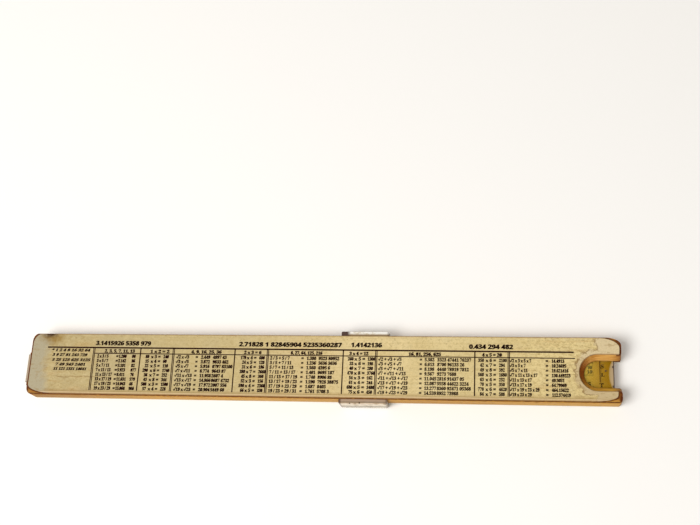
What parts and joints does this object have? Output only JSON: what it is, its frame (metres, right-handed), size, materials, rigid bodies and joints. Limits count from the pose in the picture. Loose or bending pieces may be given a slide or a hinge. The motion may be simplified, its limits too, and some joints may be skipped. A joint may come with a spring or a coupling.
{
  "type": "slide rule",
  "caption": "Wooden ten-inch slide rule with white faces, a sliding middle strip, an index notch in the back and a glass cursor on metal rails.",
  "frame": {"origin": "under the middle of the rule's box, on the surface that the cursor's glass rests on", "axes": "the rule lies on its front: +Z out of the back face, +X towards the right end with the index notch, -Y towards the upper edge of the front"},
  "size_m": [0.3016, 0.0368, 0.0114],
  "materials": {
    "mahogany": "oiled and stained, worn pale on the edges",
    "white_facing": "white sheet yellowed with age, printed in black",
    "clear_celluloid": "clear sheet gone deep yellow",
    "plate_glass": "polished, bevelled",
    "nickel_silver": "drawn and polished, lightly tarnished",
    "steel": "bright, slightly oxidised"
  },
  "bodies": {
    "stock": {"stock": "mahogany", "back_facing": "white_facing", "upper_front_facing": "white_facing", "lower_front_facing": "white_facing", "index_window": "clear_celluloid"},
    "slide": {"slide_core": "mahogany", "slide_front_facing": "white_facing", "slide_back_facing": "white_facing"},
    "cursor": {"cursor_glass": "plate_glass", "upper_rail": "nickel_silver", "lower_rail": "nickel_silver", "cursor_spring": "steel", "screw_upper_left": "steel", "screw_upper_right": "steel", "screw_lower_left": "steel", "screw_lower_right": "steel"}
  },
  "joints": [
    {"name": "slide_travel", "type": "slide", "parent": "stock", "child": "slide", "axis": [1, 0, 0], "range_m": [-0.2468, 0.2532]},
    {"name": "cursor_travel", "type": "slide", "parent": "stock", "child": "cursor", "axis": [1, 0, 0], "range_m": [-0.1622, 0.1122]}
  ]
}
